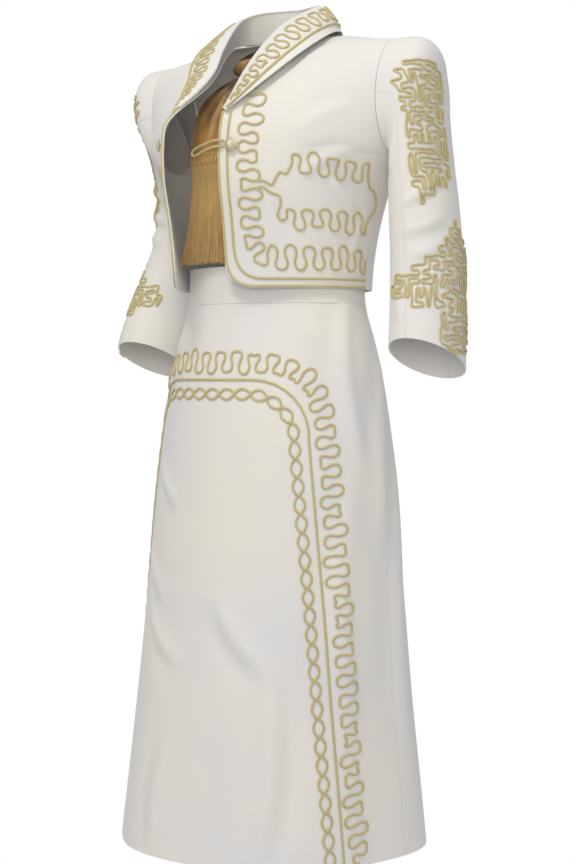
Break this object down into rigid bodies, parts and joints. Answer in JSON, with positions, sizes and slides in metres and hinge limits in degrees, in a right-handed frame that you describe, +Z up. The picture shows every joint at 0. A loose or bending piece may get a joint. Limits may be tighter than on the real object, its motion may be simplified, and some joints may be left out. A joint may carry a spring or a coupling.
{
  "type": "mariachi suit",
  "caption": "Short open bolero jacket with a shawl collar and gold cord, a long A-line skirt on a high waistband, and a satin tie with a long fringe, as worn.",
  "frame": {"origin": "base of the wearer's neck, on the centre line, where the suit hangs from the shoulders", "axes": "+Z up, the suit faces -Y, the wearer's left is +X"},
  "size_m": [0.612, 0.4335, 1.2417],
  "materials": {
    "ivory_cloth": "matte ivory wool gabardine",
    "gold_cord": "gold metallic soutache cord",
    "bronze_satin": "satin with a soft sheen",
    "gold_fringe": "silky twisted fringe",
    "button_metal": "polished domed button"
  },
  "bodies": {
    "root": {"jacket_back": "ivory_cloth", "jacket_front_left": "ivory_cloth", "jacket_front_right": "ivory_cloth", "sleeve_top_left": "ivory_cloth", "sleeve_under_left": "ivory_cloth", "sleeve_top_right": "ivory_cloth", "sleeve_under_right": "ivory_cloth", "shawl_collar": "ivory_cloth", "skirt_front": "ivory_cloth", "skirt_back": "ivory_cloth", "skirt_waistband": "ivory_cloth", "edge_cord_left": "gold_cord", "inner_cord_left": "gold_cord", "edge_cord_right": "gold_cord", "inner_cord_right": "gold_cord", "skirt_border_cord": "gold_cord", "button_loop": "gold_cord", "button_left": "button_metal", "button_right": "button_metal", "tie_neckband": "bronze_satin", "tie_drape": "bronze_satin", "tie_knot": "bronze_satin", "tie_fringe": "gold_fringe"}
  },
  "joints": []
}
